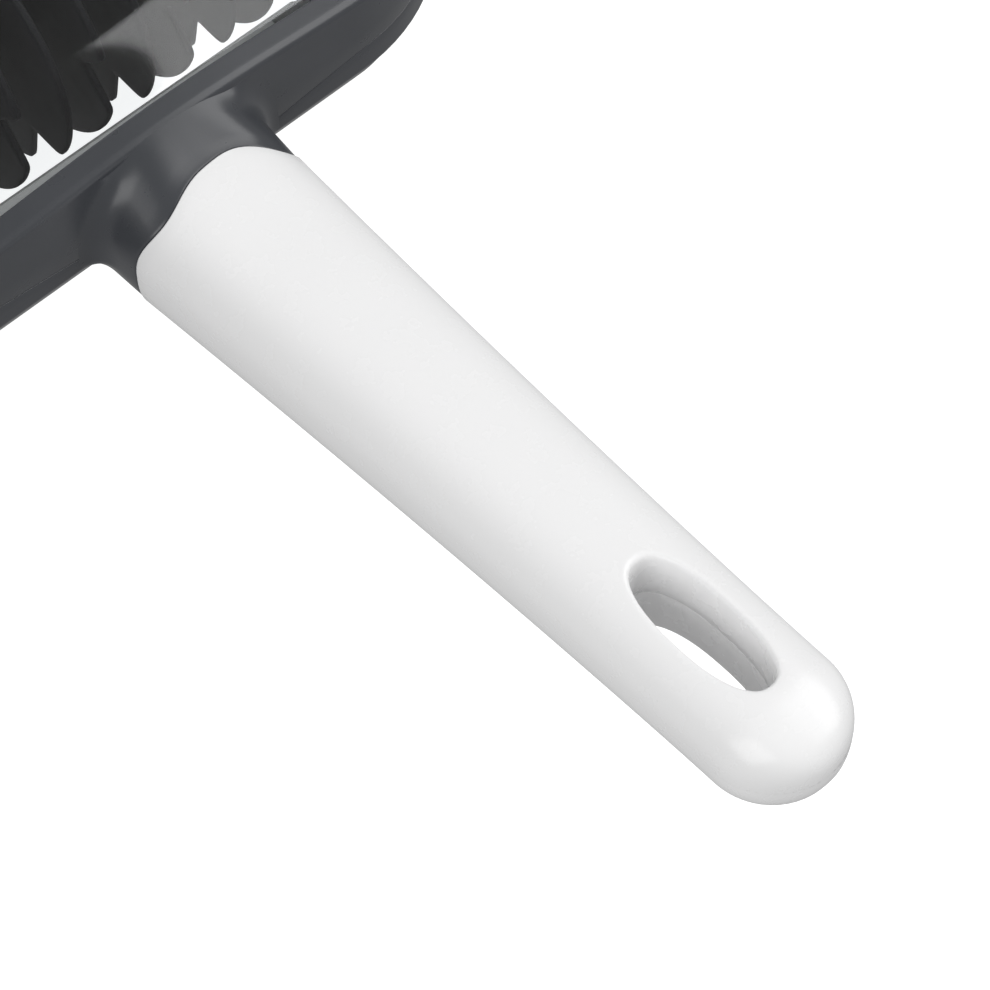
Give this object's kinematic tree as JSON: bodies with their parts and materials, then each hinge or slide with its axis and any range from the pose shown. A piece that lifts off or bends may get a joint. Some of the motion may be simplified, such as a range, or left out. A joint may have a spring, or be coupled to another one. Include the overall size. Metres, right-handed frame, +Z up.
{
  "type": "carpet sweeper",
  "caption": "Hand-held carpet sweeper: dark clamshell head with a clear window over a notched-disc rotor, tyred wheels, drop-down dust pans and a white handle with a hanging hole.",
  "frame": {"origin": "on the floor, under the middle of the rotor", "axes": "+X along the rotor to the right when the handle points to the user, -Y along the handle, +Z up from the floor"},
  "size_m": [0.145, 0.2343, 0.0524],
  "materials": {
    "frame_grey": "moulded ABS, semi-gloss dark grey",
    "handle_white": "moulded, satin-gloss white",
    "clear_window": "clear, polished",
    "pan_white": "moulded, glossy white",
    "rotor_black": "moulded, satin black",
    "drum_rubber": "matt rubber",
    "tyre_rubber": "matt rubber",
    "hub_plastic": "moulded light grey",
    "bush_plastic": "acetal, natural white",
    "steel": "plated steel"
  },
  "bodies": {
    "head": {"upper_frame": "frame_grey", "lower_frame": "frame_grey", "window": "clear_window", "handle_upper": "handle_white", "handle_lower": "handle_white", "handle_screw_inner": "steel", "handle_screw_outer": "steel", "frame_screw_1": "steel", "frame_screw_2": "steel", "frame_screw_3": "steel", "frame_screw_4": "steel", "left_cheek": "frame_grey", "right_cheek": "frame_grey", "left_bush": "bush_plastic", "right_bush": "bush_plastic", "rear_liner": "pan_white", "front_liner": "pan_white", "rear_hinge_pin": "steel", "front_hinge_pin": "steel", "rear_spring": "steel", "front_spring": "steel", "axle_left_rear": "steel", "axle_right_rear": "steel", "axle_left_front": "steel", "axle_right_front": "steel"},
    "rotor": {"rotor_discs": "rotor_black", "rotor_shaft": "steel", "drum_left": "drum_rubber", "drum_right": "drum_rubber"},
    "wheel_left_rear": {"hub_left_rear": "hub_plastic", "tyre_left_rear": "tyre_rubber"},
    "wheel_right_rear": {"hub_right_rear": "hub_plastic", "tyre_right_rear": "tyre_rubber"},
    "wheel_left_front": {"hub_left_front": "hub_plastic", "tyre_left_front": "tyre_rubber"},
    "wheel_right_front": {"hub_right_front": "hub_plastic", "tyre_right_front": "tyre_rubber"},
    "rear_pan": {"rear_pan": "pan_white"},
    "front_pan": {"front_pan": "pan_white"}
  },
  "joints": [
    {"name": "rotor_spin", "type": "hinge", "parent": "head", "child": "rotor", "pos_m": [0, 0, 0.025], "axis": [1, 0, 0], "continuous": true},
    {"name": "wheel_spin_left_rear", "type": "hinge", "parent": "head", "child": "wheel_left_rear", "pos_m": [-0.0557, -0.02044, 0.0095], "axis": [1, 0, 0], "continuous": true},
    {"name": "wheel_spin_right_rear", "type": "hinge", "parent": "head", "child": "wheel_right_rear", "pos_m": [0.0557, -0.02044, 0.0095], "axis": [1, 0, 0], "continuous": true},
    {"name": "wheel_spin_left_front", "type": "hinge", "parent": "head", "child": "wheel_left_front", "pos_m": [-0.0557, 0.02044, 0.0095], "axis": [1, 0, 0], "continuous": true},
    {"name": "wheel_spin_right_front", "type": "hinge", "parent": "head", "child": "wheel_right_front", "pos_m": [0.0557, 0.02044, 0.0095], "axis": [1, 0, 0], "continuous": true},
    {"name": "rear_pan_hinge", "type": "hinge", "parent": "head", "child": "rear_pan", "pos_m": [0, -0.031, 0.008], "axis": [-1, 0, 0], "range_deg": [0, 65], "stiffness_Nm_per_rad": 0.02, "springref_deg": -28.65, "deforming": ["rear_spring"]},
    {"name": "front_pan_hinge", "type": "hinge", "parent": "head", "child": "front_pan", "pos_m": [0, 0.031, 0.008], "axis": [1, 0, 0], "range_deg": [0, 65], "stiffness_Nm_per_rad": 0.02, "springref_deg": -28.65, "deforming": ["front_spring"]}
  ],
  "couplings": [
    {"joint": "wheel_spin_left_rear", "follows": "rotor_spin", "ratio": -1.6842},
    {"joint": "wheel_spin_right_rear", "follows": "rotor_spin", "ratio": -1.6842},
    {"joint": "wheel_spin_left_front", "follows": "rotor_spin", "ratio": -1.6842},
    {"joint": "wheel_spin_right_front", "follows": "rotor_spin", "ratio": -1.6842}
  ]
}
